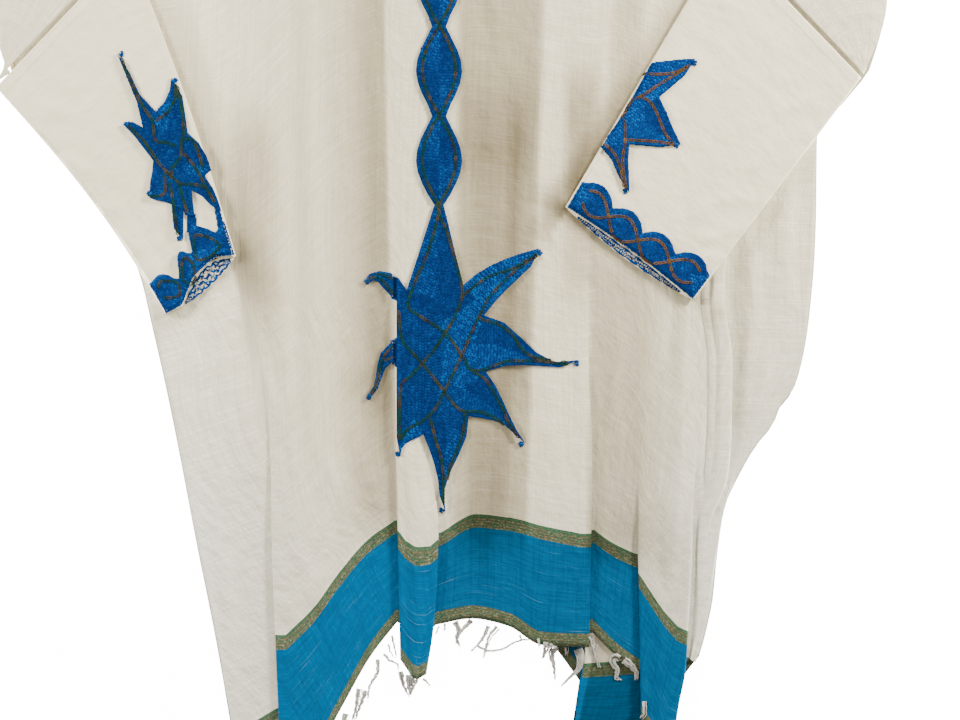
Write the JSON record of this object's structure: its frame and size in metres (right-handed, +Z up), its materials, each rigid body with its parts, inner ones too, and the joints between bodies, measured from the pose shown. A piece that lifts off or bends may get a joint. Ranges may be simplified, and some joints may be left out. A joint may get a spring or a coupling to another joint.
{
  "type": "habesha kemis dress",
  "caption": "Loose white cotton dress laid flat, sleeves folded over the front, with thick blue star embroidery, scalloped cuffs, a wide border and a fringed hem.",
  "frame": {"origin": "the middle of the laid-out dress on the floor, at the bottom centre of its box", "axes": "+Y up the garment towards the neck, +X to the right of someone who looks at the front, +Z up from the floor"},
  "size_m": [1.028, 1.4686, 0.017],
  "materials": {
    "gauze": "thin plain-woven unbleached cotton gauze with slubs",
    "sleeve_cotton": "closely woven ivory cotton",
    "embroidery": "thick chain stitch in blue yarn with orange and green outlines",
    "fringe": "loose off-white warp ends"
  },
  "bodies": {
    "root": {"back_panel": "gauze", "front_panel": "gauze", "right_upper_sleeve": "gauze", "left_upper_sleeve": "gauze", "right_lower_sleeve": "sleeve_cotton", "left_lower_sleeve": "sleeve_cotton", "neck_binding": "sleeve_cotton", "front_embroidery": "embroidery", "star_upper_left_ray": "embroidery", "star_left_ray": "embroidery", "right_sleeve_star": "embroidery", "left_sleeve_star": "embroidery", "right_cuff_border": "embroidery", "left_cuff_border": "embroidery", "fringe_left_under": "fringe", "fringe_swoop": "fringe", "fringe_pleat": "fringe", "fringe_centre": "fringe", "fringe_mid": "fringe", "fringe_right": "fringe", "fringe_back": "fringe"}
  },
  "joints": []
}
